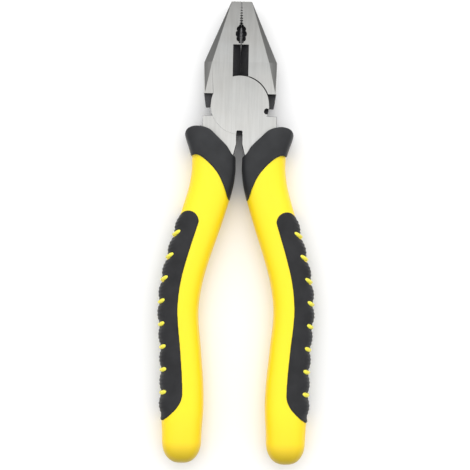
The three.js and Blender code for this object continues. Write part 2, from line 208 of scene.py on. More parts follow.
def turnedOver(piece, name):
    # the other half of the pliers is the same piece, turned half a turn about the Y axis
    copy = piece.copy()
    copy.data = piece.data.copy()
    copy.name = name
    copy.data.name = name
    bpy.context.scene.collection.objects.link(copy)
    turn = Matrix.Translation((0, 0, headThickness * mm)) @ Matrix.Rotation(math.pi, 4, "Y")
    copy.data.transform(turn)
    return copy


def smooth(knots):
    # a smooth value through knots of [place, value]
    places = np.array([k[0] for k in knots], float)
    values = np.array([k[1] for k in knots], float)
    slopes = np.gradient(values, places)
    slopes[1:-1] = (values[2:] - values[:-2]) / (places[2:] - places[:-2])

    def read(place):
        place = np.clip(np.asarray(place, float), places[0], places[-1])
        i = np.clip(np.searchsorted(places, place, side="right") - 1, 0, len(places) - 2)
        span = places[i + 1] - places[i]
        t = (place - places[i]) / span
        rise = values[i + 1] - values[i]
        bendStart = slopes[i] * span - rise
        bendEnd = rise - slopes[i + 1] * span
        return values[i] + t * rise + t * (1 - t) * (bendStart * (1 - t) + bendEnd * t)

    return read


# Node helpers

def addNode(tree, kind, settings=None, **inputs):
    node = tree.nodes.new(kind)
    for key, value in (settings or {}).items():
        setattr(node, key, value)
    for key, value in inputs.items():
        socket = node.inputs[int(key[1:])] if key[0] == "i" and key[1:].isdigit() else node.inputs[key]
        if isinstance(value, bpy.types.NodeSocket):
            tree.links.new(value, socket)
        else:
            socket.default_value = value
    return node


def maths(tree, operation, a, b=None):
    node = tree.nodes.new("ShaderNodeMath")
    node.operation = operation
    for socket, value in zip(node.inputs, (a, b)):
        if isinstance(value, bpy.types.NodeSocket):
            tree.links.new(value, socket)
        elif value is not None:
            socket.default_value = value
    return node.outputs[0]


def newTree(name, inputs):
    # inputs is [name, socket type, default]; the first socket is always the geometry
    tree = bpy.data.node_groups.new(name, "GeometryNodeTree")
    tree.interface.new_socket("Geometry", in_out="INPUT", socket_type="NodeSocketGeometry")
    for label, kind, default in inputs:
        socket = tree.interface.new_socket(label, in_out="INPUT", socket_type=kind)
        if default is not None:
            socket.default_value = default
    tree.interface.new_socket("Geometry", in_out="OUTPUT", socket_type="NodeSocketGeometry")
    return tree, tree.nodes.new("NodeGroupInput").outputs, tree.nodes.new("NodeGroupOutput").inputs


def growTree(piece, tree, values):
    # sets the named inputs by their identifiers, then turns the result into a plain mesh
    step = piece.modifiers.new(tree.name, "NODES")
    step.node_group = tree
    for item in tree.interface.items_tree:
        if item.in_out == "INPUT" and item.name in values:
            step[item.identifier] = values[item.name]
    piece.update_tag()
    bpy.context.view_layer.update()
    return bake(piece)


# Finishes

def newFinish(name):
    material = bpy.data.materials.new(name)
    material.use_nodes = True
    tree = material.node_tree
    shader = tree.nodes["Principled BSDF"]
    place = addNode(tree, "ShaderNodeTexCoord").outputs["Object"]
    return material, tree, shader, place


def stretched(tree, place, scale):
    return addNode(tree, "ShaderNodeMapping", Vector=place, Scale=scale).outputs[0]


def noise(tree, place, scale, detail=4.0, roughness=0.55):
    node = addNode(tree, "ShaderNodeTexNoise", Vector=place, Scale=scale, Detail=detail,
                   Roughness=roughness)
    return node.outputs["Fac"]


def ramp(tree, value, stops):
    node = addNode(tree, "ShaderNodeValToRGB", i0=value)
    points = node.color_ramp.elements
    while len(points) < len(stops):
        points.new(0.5)
    for point, (place, colour) in zip(points, stops):
        point.position = place
        point.color = (*colour, 1) if isinstance(colour, tuple) else (colour, colour, colour, 1)
    return node.outputs["Color"]


def rescale(tree, value, low, high, fromLow=0.0, fromHigh=1.0):
    node = addNode(tree, "ShaderNodeMapRange", Value=value)
    node.inputs["From Min"].default_value = fromLow
    node.inputs["From Max"].default_value = fromHigh
    node.inputs["To Min"].default_value = low
    node.inputs["To Max"].default_value = high
    return node.outputs[0]


def bump(tree, height, strength, depth, normal=None):
    node = addNode(tree, "ShaderNodeBump", Height=height, Strength=strength, Distance=depth * mm)
    if normal is not None:
        tree.links.new(normal, node.inputs["Normal"])
    return node.outputs[0]


def mixColour(tree, share, a, b, how="MIX"):
    node = tree.nodes.new("ShaderNodeMix")
    node.data_type = "RGBA"
    node.blend_type = how
    for socket, value in ((node.inputs[0], share), (node.inputs[6], a), (node.inputs[7], b)):
        if isinstance(value, bpy.types.NodeSocket):
            tree.links.new(value, socket)
        else:
            socket.default_value = (*value, 1) if isinstance(value, tuple) else value
    return node.outputs[2]


# atNeck and atTips paint light along the tool: the steel's colour is multiplied from 1.5 at the neck down to
# 0.6 at the tips
steelLook = {
    "light": (0.345, 0.345, 0.335), "dark": (0.296, 0.295, 0.286), "warm": (0.33, 0.322, 0.302),
    "cool": (0.315, 0.33, 0.34),
    "grainPerMm": 5.5, "grainStretch": 45, "roughLow": 0.30, "roughHigh": 0.44,
    "atNeck": 1.5, "atTips": 0.6, "neckDown": 20, "tipsUp": 45,  # paler towards the neck
}


def groundSteel(name, shade=1.0):
    # satin ground steel: fine scratches that run along the tool, faint handling marks, and painted light
    # that makes it paler towards the neck and darker towards the tips
    look = steelLook
    material, tree, shader, place = newFinish(name)
    grain = look["grainPerMm"] / mm
    lines = noise(tree, stretched(tree, place, (grain, grain / look["grainStretch"], grain)), 1.0, 5, 0.7)
    broad = noise(tree, stretched(tree, place, (900, 40, 900)), 1.0, 3, 0.5)
    marks = noise(tree, place, 130, 4, 0.6)
    # shade multiplies every tone, so a value below 1 paints the whole finish darker as shade
    tone = ramp(tree, lines, [(0.3, tuple(c * shade for c in look["dark"])),
                              (0.7, tuple(c * shade for c in look["light"]))])
    toned = mixColour(tree, rescale(tree, marks, 0.0, 0.35, 0.4, 0.7), tone,
                      tuple(c * shade for c in look["warm"]))
    cool = noise(tree, place, 70, 2, 0.5)
    toned = mixColour(tree, rescale(tree, cool, 0.0, 0.22, 0.45, 0.7), toned,
                      tuple(c * shade for c in look["cool"]))
    along = addNode(tree, "ShaderNodeSeparateXYZ", Vector=place).outputs["Y"]
    # painted light: the colour is made paler towards the neck and darker towards the tips, then given faint
    # broad streaks
    paler = rescale(tree, along, look["atNeck"], look["atTips"], -look["neckDown"] * mm, look["tipsUp"] * mm)
    streaksTimesPaintedLight = maths(tree, "MULTIPLY", paler, rescale(tree, broad, 0.955, 1.04, 0.35, 0.65))
    paintedLightAndStreaks = addNode(tree, "ShaderNodeCombineXYZ", X=streaksTimesPaintedLight, Y=streaksTimesPaintedLight, Z=streaksTimesPaintedLight).outputs[0]
    toned = mixColour(tree, 1.0, toned, paintedLightAndStreaks, "MULTIPLY")
    tree.links.new(toned, shader.inputs["Base Color"])
    shader.inputs["Metallic"].default_value = 1.0
    rough = maths(tree, "ADD", rescale(tree, lines, look["roughLow"], look["roughHigh"], 0.3, 0.7),
                  rescale(tree, marks, -0.03, 0.05, 0.35, 0.65))
    tree.links.new(rough, shader.inputs["Roughness"])
    shader.inputs["Anisotropic"].default_value = 0.35
    mixed = maths(tree, "ADD", lines, broad)
    tree.links.new(bump(tree, mixed, 0.35, 0.012), shader.inputs["Normal"])
    return material


def blackOxide(name):
    # the unground hollows keep their dark, slightly scaly oxide
    material, tree, shader, place = newFinish(name)
    scale = noise(tree, place, 1800, 5, 0.6)
    patches = noise(tree, place, 260, 3, 0.5)
    tone = ramp(tree, scale, [(0.3, (0.028, 0.028, 0.031)), (0.75, (0.066, 0.067, 0.072))])
    toned = mixColour(tree, rescale(tree, patches, 0, 0.5, 0.45, 0.7), tone, (0.05, 0.048, 0.045))
    tree.links.new(toned, shader.inputs["Base Color"])
    shader.inputs["Metallic"].default_value = 0.55
    tree.links.new(rescale(tree, scale, 0.42, 0.62, 0.3, 0.7), shader.inputs["Roughness"])
    tree.links.new(bump(tree, scale, 0.4, 0.02), shader.inputs["Normal"])
    return material


# face is the lit colour and side the painted shade on the grip's sides; heel is painted shade at the
# handle's end; scuff is a random tone
yellowLook = {"face": (0.95, 0.77, 0.006), "side": (0.93, 0.60, 0.003), "scuff": (0.90, 0.72, 0.02),
              "heel": (0.42, 0.31, 0.01), "deeperFrom": 24, "deeperTo": 6, "heelFrom": 10}


def yellowMoulding(name, pale=False):
    # smooth semi-gloss moulding with a fine parting line; its colour carries painted shade, darker down its
    # sides and darker again towards the end of the handle
    look = yellowLook
    material, tree, shader, place = newFinish(name)
    height = addNode(tree, "ShaderNodeSeparateXYZ", Vector=place).outputs["Z"]
    fromMiddle = maths(tree, "ABSOLUTE", maths(tree, "SUBTRACT", height, middle * mm))
    # painted shade: the colour runs from face on the top and bottom faces to side halfway up the grip's
    # sides
    litFaceShare = rescale(tree, fromMiddle, 0.0, 1.0, 1.5 * mm, 6.8 * mm)
    clouds = noise(tree, place, 90, 3, 0.5)
    tone = mixColour(tree, litFaceShare, look["side"], look["face"])
    toned = mixColour(tree, rescale(tree, clouds, 0, 0.25, 0.45, 0.75), tone, look["scuff"])
    along = addNode(tree, "ShaderNodeSeparateXYZ", Vector=place).outputs["Y"]
    # painted shade: the colour moves towards the side colour over the last part of the handle
    endShadeShare = rescale(tree, along, 0.6, 0.0, (look["deeperTo"] - handleReach) * mm,
                     (look["deeperFrom"] - handleReach) * mm)
    toned = mixColour(tree, endShadeShare, toned, look["side"])
    # painted shade: the end of the handle is coloured dark olive where less light falls
    heelShadeShare = rescale(tree, along, 0.95, 0.0, -handleReach * mm, (look["heelFrom"] - handleReach) * mm)
    toned = mixColour(tree, heelShadeShare, toned, look["heel"])
    if pale:
        toned = mixColour(tree, 0.6, toned, (0.78, 0.80, 0.10))
    tree.links.new(toned, shader.inputs["Base Color"])
    grain = noise(tree, place, 2600, 3, 0.5)
    smear = noise(tree, stretched(tree, place, (260, 60, 260)), 1.0, 3, 0.6)
    rough = maths(tree, "ADD", rescale(tree, smear, 0.34, 0.46, 0.35, 0.65),
                  rescale(tree, grain, -0.03, 0.03))
    tree.links.new(rough, shader.inputs["Roughness"])
    shader.inputs["IOR"].default_value = 1.47
    shader.inputs["Subsurface Weight"].default_value = 0.12
    shader.inputs["Subsurface Radius"].default_value = (0.0012, 0.0007, 0.0002)
    shader.inputs["Subsurface Scale"].default_value = 1.0
    parting = rescale(tree, fromMiddle, 1.0, 0.0, 0.0, 0.12 * mm)
    rounded = bump(tree, grain, 0.12, 0.02)
    tree.links.new(bump(tree, parting, 0.5, 0.05, rounded), shader.inputs["Normal"])
    return material


def blackRubber(name, tone, rough, grainPerMm, depth):
    # soft moulded rubber: a fine matt grain, a little dust in it, and rubbed patches
    material, tree, shader, place = newFinish(name)
    grain = addNode(tree, "ShaderNodeTexVoronoi", Vector=place, Scale=grainPerMm / mm).outputs["Distance"]
    fine = noise(tree, place, grainPerMm * 1.7 / mm, 3, 0.6)
    rubbed = noise(tree, place, 120, 4, 0.55)
    tree.links.new(ramp(tree, rubbed, [(0.35, tuple(c * 0.85 for c in tone)),
                                       (0.7, tuple(c * 1.35 for c in tone))]),
                   shader.inputs["Base Color"])
    tree.links.new(rescale(tree, rubbed, rough + 0.06, rough - 0.08, 0.35, 0.7), shader.inputs["Roughness"])
    shader.inputs["IOR"].default_value = 1.5
    shader.inputs["Specular IOR Level"].default_value = 0.36
    shader.inputs["Sheen Weight"].default_value = 0.06
    shader.inputs["Sheen Roughness"].default_value = 0.5
    tree.links.new(bump(tree, maths(tree, "ADD", grain, fine), 0.3, depth), shader.inputs["Normal"])
    return material


jawFinish = groundSteel("groundJawSteel")
# the bevel is the same ground steel painted at 0.55 of its colour, as painted shade on the tilted bevel
# facets
bevelShadedFinish = groundSteel("groundBevelSteelPaintedShade", 0.55)
rivetFinish = groundSteel("groundRivetSteel", 0.99)
oxideFinish = blackOxide("blackOxideHollows")
yellowFinish = yellowMoulding("yellowMoulding")
ribFinish = yellowMoulding("yellowRibs", pale=True)
collarFinish = blackRubber("collarRubber", (0.0125, 0.0135, 0.0155), 0.50, 2.2, 0.02)
padFinish = blackRubber("padRubber", (0.0095, 0.0098, 0.0115), 0.62, 2.6, 0.05)
print("finishes made")


# Head: one forging, cut and ground

headParts = {
    "seam": 0.12, "jawSeam": 0.3, "neckSeam": 0.05, "jawGap": 0.06, "tipLine": 0.2, "tipLineDeep": 2,
    "tipHalf": 4.45, "widestUp": 18.7, "heelIn": 0.15, "tipThinning": 1.3, "bevelWidth": 3.5,
    "bevelDepth": 3.0, "bossRadius": 12.75, "openHalfAngle": 16.6, "neckOver": 0.2,
    "lugDrop": 2.5, "lugReach": 0.9, "lugTaper": 0.85, "lugTurn": 31.6, "lugRoom": 0.3,
    "notchRadius": 1.25, "notchIn": 0.9, "notchDown": 2.6,
    "slotHalf": 1.3, "slotTop": 11.1, "slotCorner": 0.5, "slotWeb": 1.4, "slotEnd": 40, "edgeRound": 0.12,
    "rivetHead": 5.48, "rivetPlay": 0.003, "rivetShank": 4.3, "shankPlay": 0.01, "headRim": 0.2,
    "headDeep": 1.2,
    "fineFrom": 2.2, "fineTo": 10.1, "fineTeeth": 7, "fineDepth": 0.85, "fineSmallest": 0.55,
    "fineSquash": 0.8, "fineCut": 5.0,
    "gripTo": 18.2, "gripHalf": 1.95, "gripTeeth": 5, "scallop": 0.62, "gripSlit": 0.2, "gripSlitEnd": 0.6,
    "gripShorter": 0.16, "gripWeb": 0.5,
    "gripNarrowing": ((-2, 1.03), (0, 1.0), (1.2, 0.9), (3.2, 0.6)),  # depth below the face, share of width
    "gripNarrowest": 0.3,
    "cutterFrom": 18.8, "cutterHalf": 3.4, "cutterWall": 1.1, "bladeHalf": 0.55,
    "slitLength": 2.9, "slitHalf": 0.3,
    # the neck's outline: how far in from the shoulder, and how far down from the pivot
    "neckFoot": ((13.6, 21.8), (11.9, 25.4), (10.7, 26.6), (7.6, 25.6), (4.1, 22.6), (0.7, 19.2), (0, 14)),
    "neckSlotDown": 17,
}
h = headParts
heelHalf = jawHalf - h["heelIn"]
neckHalf = jawHalf + h["neckOver"]
heelUp = neckHalf * math.tan(math.radians(h["openHalfAngle"]))
seamLow = middle + h["seam"] / 2


def toothCutters(name, places, sides, radius):
    # Geometry Nodes: one upright bar at each place, as a cutter for a row of teeth
    tree, given, result = newTree(name, [
        ("Bar radius", "NodeSocketFloat", radius * mm), ("Bar sides", "NodeSocketInt", sides),
        ("Bar length", "NodeSocketFloat", 2 * farAway * mm),
        ("Bar squash", "NodeSocketFloat", h["fineSquash"]), ("Finish", "NodeSocketMaterial", None),
    ])
    bar = addNode(tree, "GeometryNodeMeshCylinder", Vertices=given["Bar sides"],
                  Radius=given["Bar radius"], Depth=given["Bar length"])
    size = addNode(tree, "GeometryNodeInputNamedAttribute", {"data_type": "FLOAT"}, Name="size")
    squashed = maths(tree, "MULTIPLY", size.outputs[0], given["Bar squash"])
    stretch = addNode(tree, "ShaderNodeCombineXYZ", X=size.outputs[0], Y=squashed, Z=1.0)
    row = addNode(tree, "GeometryNodeInstanceOnPoints", Points=given["Geometry"],
                  Instance=bar.outputs["Mesh"], Scale=stretch.outputs[0])
    solid = addNode(tree, "GeometryNodeRealizeInstances", Geometry=row.outputs[0])
    painted = addNode(tree, "GeometryNodeSetMaterial", Geometry=solid.outputs[0],
                      Material=given["Finish"])
    tree.links.new(painted.outputs[0], result["Geometry"])
    row = newPiece(name, [place[:3] for place in places], [])
    sizes = row.data.attributes.new("size", "FLOAT", "POINT")
    sizes.data.foreach_set("value", [place[3] for place in places])
    return growTree(row, tree, {"Bar radius": radius * mm, "Bar sides": sides, "Finish": oxideFinish})


def jawOutline():
    shut = h["jawGap"] / 2
    fineEnd = jawReach - h["fineTo"]
    gripEnd = jawReach - h["gripTo"]
    cutterTop = jawReach - h["cutterFrom"]
    face = [(-shut, jawReach), (-shut, fineEnd), (-h["gripSlit"], fineEnd - 1),
            (-h["gripSlitEnd"], gripEnd + 1.6), (-h["gripSlitEnd"], gripEnd + 0.8),
            (-h["slitHalf"], gripEnd - 0.1), (-h["slitHalf"], cutterTop),
            (-shut, cutterTop - h["slitLength"]), (-shut, h["bossRadius"] / 2)]
    outside = [(-h["bossRadius"] / 2, heelUp), (-heelHalf, heelUp), (-jawHalf, h["widestUp"]),
               (-h["tipHalf"], jawReach)]
    return face + outside


def fineTeeth():
    # cut into both faces of the tips, growing towards the pipe grip
    step = (h["fineTo"] - h["fineFrom"]) / h["fineTeeth"]
    places = []
    for tooth in range(h["fineTeeth"]):
        down = h["fineFrom"] + (tooth + 0.5) * step
        size = h["fineSmallest"] + (1 - h["fineSmallest"]) * tooth / (h["fineTeeth"] - 1)
        for z in (headThickness - h["fineCut"] + farAway, h["fineCut"] - farAway):
            places.append((-h["jawGap"] / 2, jawReach - down, z, size))
    return toothCutters("fineTeeth", places, 4, h["fineDepth"])


def gripHollows():
    # the pipe grip: a scalloped oval that narrows from each face to a slit in the middle
    centre = jawReach - (h["fineTo"] + h["gripTo"]) / 2
    length = (h["gripTo"] - h["fineTo"]) / 2
    turns = np.radians(np.arange(0, 360, 3))
    scallop = np.abs(np.sin(turns)) ** 0.5 * h["scallop"] * np.sqrt(np.abs(np.sin(turns * h["gripTeeth"])))
    across = (h["gripHalf"] + scallop) * np.sin(turns)
    along = (length + scallop) * np.cos(turns)
    tools = []
    for front in (1, -1):
        rings = []
        for depth, narrow in (*h["gripNarrowing"], (middle - h["gripWeb"], h["gripNarrowest"])):
            z = middle + front * (middle - depth)
            shorter = 1 - h["gripShorter"] * (1 - narrow)
            rings.append(np.stack([across * narrow, centre + along * shorter, np.full(len(turns), z)], 1))
        tools.append(faceOut(loft(rings)))
    return tools


def neckOutline():
    foot = [(neckHalf - fromSide, -down) for fromSide, down in h["neckFoot"]]
    return [(h["slotHalf"], -h["neckSlotDown"])] + foot + [
        (neckHalf, -heelUp), (h["bossRadius"] / 2, -heelUp), (h["bossRadius"] / 2, 0),
        (h["slotHalf"], -h["bossRadius"] / 2)]


def faceGrinding():
    # the jaws thin towards their tips, and their outer edges are bevelled, on both faces
    tools = []
    for front in (1, -1):
        face = middle + front * middle
        away = face + front * farAway
        side, tip = jawHalf + 1, jawReach + 1
        thin = face - front * h["tipThinning"]
        tools.append(hull([(x, y, z) for x in (-side, side) for y, z in (
            (h["widestUp"], face), (tip, thin), (h["widestUp"], away), (tip, away))]))
        low = face - front * h["bevelDepth"]
        ridge = -jawHalf + h["bevelWidth"]
        widest = [(ridge, h["widestUp"], face), (-jawHalf - 0.01, h["widestUp"], low),
                  (ridge, h["widestUp"], away), (-jawHalf - farAway, h["widestUp"], low),
                  (-jawHalf - farAway, h["widestUp"], away)]
        atTip = [(-h["tipHalf"], jawReach, thin), (-h["tipHalf"] - farAway, jawReach, thin),
                 (-h["tipHalf"], jawReach, away)]
        heelShadeShare = [(0.4 - heelHalf, heelUp, face), (-heelHalf - farAway, heelUp, face),
                  (0.4 - heelHalf, heelUp, away)]
        tools += [hull(widest + atTip), hull(widest + heelShadeShare)]
    return tools


def cutterRelief():
    top = jawReach - h["cutterFrom"]
    tools = []
    for front in (1, -1):
        face = middle + front * middle
        corners = []
        for y in (top, 0):
            for side in (-1, 1):
                corners += [(side * h["cutterHalf"], y, face + front * farAway),
                            (side * h["cutterHalf"], y, face - front * h["cutterWall"]),
                            (side * h["jawGap"] / 2, y, middle + front * h["bladeHalf"])]
        tools.append(cut(hull(corners), prism(circle(h["bossRadius"]), -farAway, farAway + middle)))
    return tools


def neckSlot():
    # square-topped, right through the neck, with a thin web left where it enters the boss
    corner = h["slotHalf"] - h["slotCorner"]
    end = -h["slotTop"] - h["slotCorner"]
    slot = circle(h["slotCorner"], 8, (corner, end), 0, 90)
    slot += circle(h["slotCorner"], 8, (-corner, end), 90, 180)
    slot += [(-h["slotHalf"], -h["slotEnd"]), (h["slotHalf"], -h["slotEnd"])]
    pastBoss = [(x, min(y, -h["bossRadius"] - 0.06)) for x, y in slot]
    return [prism(slot, -farAway, 1), prism(slot, seamLow + h["slotWeb"], farAway + middle),
            prism(pastBoss, 0, farAway)]


def rivetProfile(play, past):
    # the headed rivet, or with past the hole that it sits in
    wide, shank = h["rivetHead"] - play, h["rivetShank"] - (h["shankPlay"] if play else 0)
    deep = h["headDeep"] - (h["shankPlay"] if play else 0)
    return [(0, -past), (wide, -past), (wide, h["headRim"]), (shank, deep), (shank, headThickness - deep),
            (wide, headThickness - h["headRim"]), (wide, headThickness + past), (0, headThickness + past)]


def makeForging():
    forging = cut(prism(jawOutline(), 0, headThickness, "front_half"),
                  prism(circle(h["bossRadius"] + h["jawSeam"]), -farAway, seamLow))
    join(forging, cut(prism(neckOutline(), 0, headThickness),
                      prism(circle(h["bossRadius"] + h["neckSeam"]), -farAway, seamLow)))
    join(forging, prism(circle(h["bossRadius"]), seamLow, headThickness))
    lugEnd = math.degrees(math.atan2(h["lugReach"], h["bossRadius"] - 0.5)) + h["lugTurn"]
    room = [(0, 0)] + circle(neckHalf + 4, 24, start=-lugEnd, end=0)
    cut(forging, prism(room, h["lugDrop"] - h["lugRoom"], seamLow))
    lug = [(-heelHalf, heelUp + 1), (-heelHalf, heelUp), (h["lugTaper"] - heelHalf, -h["lugReach"]),
           (0.5 - h["bossRadius"], -h["lugReach"]), (3 - h["bossRadius"], heelUp + 1)]
    join(forging, prism(lug, seamLow, headThickness - h["lugDrop"]))
    cut(forging, *faceGrinding(), *cutterRelief(), *neckSlot(),
        prism(circle(h["notchRadius"], 20, (h["bossRadius"] - h["notchIn"], -h["notchDown"])),
              middle, farAway + middle),
        spun(rivetProfile(0, farAway)))
    cut(forging, *gripHollows())
    combine(forging, fineTeeth(), "DIFFERENCE", crossing=True)
    lineEnd = jawReach - h["fineFrom"] - 0.1
    line = [(-h["tipLine"], jawReach + 1), (1, jawReach + 1), (1, lineEnd), (-h["tipLine"], lineEnd)]
    cut(forging, prism(line, headThickness - h["tipLineDeep"], farAway),
        prism(line, -farAway, h["tipLineDeep"]))
    return tidyMesh(forging)


def steelFinishAt(centre, normal):
    # 0 ground face, 1 ground bevel painted darker as shade, 2 black oxide
    x, y, z = (value / mm for value in centre)
    upright = abs(normal.z)
    fromFace = min(z, headThickness - z)
    if upright > 0.95:
        return 0 if fromFace < h["tipThinning"] + 0.05 else 2
    onJawEdge = x < -h["tipHalf"] and y > heelUp + 0.1
    if upright > 0.4:
        return 1 if onJawEdge else 2
    jawSide = onJawEdge and normal.x < -0.5 and -x > jawHalf * (jawReach - y) / (jawReach + 20) + 2
    return 0 if jawSide or y > jawReach - 0.05 or x > neckHalf - 0.05 else 2


def softenEdges(piece):
    # the ground faces meet their neighbours at a slightly broken edge
    shape = bmesh.new()
    shape.from_mesh(piece.data)
    edges = []
    for edge in shape.edges:
        middleOf = (edge.verts[0].co + edge.verts[1].co) / 2 / mm
        onFace = min(middleOf.z, headThickness - middleOf.z) < h["tipThinning"] + 0.05
        clearOfTeeth = abs(middleOf.x) > 3.6 or middleOf.y < 11.5
        if edge.calc_length() > 0.25 * mm and len(edge.link_faces) == 2 and onFace and clearOfTeeth:
            onSeam = abs(math.hypot(middleOf.x, middleOf.y) - h["bossRadius"]) < 0.4 and middleOf.y < 0
            onRivet = math.hypot(middleOf.x, middleOf.y) < h["rivetHead"] + 0.4
            sharp = edge.calc_face_angle(0) > math.radians(50)
            if sharp and middleOf.y > -22 and not onSeam and not onRivet:
                edges.append(edge)
    bmesh.ops.bevel(shape, geom=edges, offset=h["edgeRound"] * mm, segments=2, profile=0.5,
                    affect="EDGES", clamp_overlap=False)
    shape.to_mesh(piece.data)
    shape.free()
    return piece


def paint(piece, finish):
    piece.data.materials.clear()
    piece.data.materials.append(finish)
    piece.data.polygons.foreach_set("material_index", [0] * len(piece.data.polygons))
    return piece


def paintSteel(piece):
    piece.data.materials.clear()
    for finish in (jawFinish, bevelShadedFinish, oxideFinish):
        piece.data.materials.append(finish)
    for face in piece.data.polygons:
        face.material_index = steelFinishAt(face.center, face.normal)
    return piece


# Handles: the measures along each handle, from the pivot down

gripParts = {
    "setIn": 5.05, "bowOut": 14, "bowBack": 2.25, "halfNeck": 9.5, "halfBow": 8.6, "halfHeel": 9.35,
    "halfThick": 7.25, "endRound": 9.0, "square": 2.6, "startDown": 14.0, "underLip": 3.0,
    "stepIn": 1.1, "stepLip": 0.7, "rings": 180, "sides": 96,
    "tangHalf": 3.6, "tangThick": 3.0, "tangEnd": 142,
}
g = gripParts
neckOffset = neckHalf - g["setIn"]
bowOffset = neckOffset + g["bowOut"]
endOffset = bowOffset - g["bowBack"]
collarEnd = 42


def gripDown(share):
    return collarEnd + share * (handleReach - collarEnd)


def outward(share):
    return neckOffset + share * g["bowOut"]


def inward(share):
    return bowOffset - share * g["bowBack"]


gripMiddle = smooth([
    [0, neckOffset], [23, neckOffset], [29, outward(0)], [37, outward(0.09)],
    [gripDown(0.09), outward(0.41)], [gripDown(0.21), outward(0.71)], [gripDown(0.31), outward(0.91)],
    [gripDown(0.42), bowOffset], [gripDown(0.57), inward(0.55)], [gripDown(0.68), inward(0.9)],
    [gripDown(0.78), endOffset], [handleReach, endOffset]])
gripHalf = smooth([
    [0, g["halfNeck"]], [24, g["halfNeck"]], [gripDown(0.09), 9.7], [gripDown(0.42), g["halfBow"]],
    [gripDown(0.57), 8.75], [gripDown(0.78), g["halfHeel"]], [gripDown(0.88), 8.7], [handleReach, 8.3]])


def roundedDowns(start, count, reach=handleReach):
    # places down the handle, and how much the section shrinks there to round the end off
    straight = np.linspace(start, reach - g["endRound"], count - 26)
    turn = np.radians(np.linspace(0, 90, 27))[1:]
    downs = np.append(straight, reach - g["endRound"] + g["endRound"] * np.sin(turn))
    return downs, np.append(np.ones(len(straight)), np.maximum(np.cos(turn), 0) ** 0.8)


def powered(value, power):
    return np.sign(value) * np.abs(value) ** power


def section(centre, half, thick, square, down, sides):
    turn = np.linspace(0, 2 * np.pi, sides, endpoint=False)
    return np.stack([centre + powered(np.cos(turn), 2 / square) * half,
                     np.full(sides, -float(down)),
                     middle + powered(np.sin(turn), 2 / square) * thick], axis=1)


def gripSolid(grow, start, count=120, sides=96, name="cutter"):
    downs, shrink = roundedDowns(start, count, handleReach + min(grow, 0))
    rings = [section(gripMiddle(d), (gripHalf(d) + grow) * s, (g["halfThick"] + grow) * s, g["square"], d,
                     sides) for d, s in zip(downs, shrink) if s > 0.02]
    return faceOut(loft(rings, name))


def faceOut(piece):
    shape = bmesh.new()
    shape.from_mesh(piece.data)
    bmesh.ops.remove_doubles(shape, verts=shape.verts, dist=0.0005 * mm)
    bmesh.ops.recalc_face_normals(shape, faces=shape.faces)
    shape.to_mesh(piece.data)
    shape.free()
    return piece


def makeTang():
    downs = np.linspace(20, g["tangEnd"], 70)
    rings = []
    for down in downs:
        taper = min(1.0, (g["tangEnd"] + 1 - down) / 6)
        x, half = float(gripMiddle(down)), g["tangHalf"] * taper
        low, high = middle - g["tangThick"] * taper, middle + g["tangThick"] * taper
        rings.append([(x - half, -down, low), (x + half, -down, low), (x + half, -down, high),
                      (x - half, -down, high)])
    return faceOut(loft(rings, "tang"))


def gripTree():
    # Geometry Nodes: wraps a grid round the guide's points, each ring a rounded square
    tree, given, result = newTree("gripMoulding", [
        ("Rings", "NodeSocketInt", g["rings"]), ("Sides", "NodeSocketInt", g["sides"]),
        ("Squareness", "NodeSocketFloat", g["square"]), ("Finish", "NodeSocketMaterial", None),
    ])
    across = maths(tree, "ADD", given["Sides"], 1.0)
    grid = addNode(tree, "GeometryNodeMeshGrid")
    tree.links.new(given["Rings"], grid.inputs["Vertices X"])
    tree.links.new(across, grid.inputs["Vertices Y"])
    index = addNode(tree, "GeometryNodeInputIndex").outputs[0]
    ring = maths(tree, "FLOOR", maths(tree, "DIVIDE", index, across))
    side = maths(tree, "MODULO", index, across)
    turn = maths(tree, "MULTIPLY", maths(tree, "DIVIDE", side, given["Sides"]), 2 * math.pi)

    def sampled(kind, value):
        node = addNode(tree, "GeometryNodeSampleIndex", {"data_type": kind})
        tree.links.new(given["Geometry"], node.inputs["Geometry"])
        tree.links.new(value, node.inputs["Value"])
        tree.links.new(ring, node.inputs["Index"])
        return node.outputs[0]

    def named(name):
        node = addNode(tree, "GeometryNodeInputNamedAttribute", {"data_type": "FLOAT"}, Name=name)
        return node.outputs[0]

    def wave(kind):
        value = maths(tree, kind, turn)
        power = maths(tree, "DIVIDE", 2.0, given["Squareness"])
        size = maths(tree, "POWER", maths(tree, "ABSOLUTE", value), power)
        return maths(tree, "MULTIPLY", maths(tree, "SIGN", value), size)

    spot = addNode(tree, "ShaderNodeSeparateXYZ",
                   Vector=sampled("FLOAT_VECTOR", addNode(tree, "GeometryNodeInputPosition").outputs[0]))
    aside = maths(tree, "MULTIPLY", wave("COSINE"), sampled("FLOAT", named("half")))
    above = maths(tree, "MULTIPLY", wave("SINE"), sampled("FLOAT", named("thick")))
    x = maths(tree, "ADD", spot.outputs[0], aside)
    z = maths(tree, "ADD", spot.outputs[2], above)
    place = addNode(tree, "ShaderNodeCombineXYZ", X=x, Y=spot.outputs[1], Z=z)
    moved = addNode(tree, "GeometryNodeSetPosition", Geometry=grid.outputs["Mesh"],
                    Position=place.outputs[0])
    closed = addNode(tree, "GeometryNodeMergeByDistance", Geometry=moved.outputs[0], Distance=0.00001)
    solid = addNode(tree, "GeometryNodeRealizeInstances", Geometry=closed.outputs[0])
    painted = addNode(tree, "GeometryNodeSetMaterial", Geometry=solid.outputs[0], Material=given["Finish"])
    tree.links.new(painted.outputs[0], result["Geometry"])
    return tree


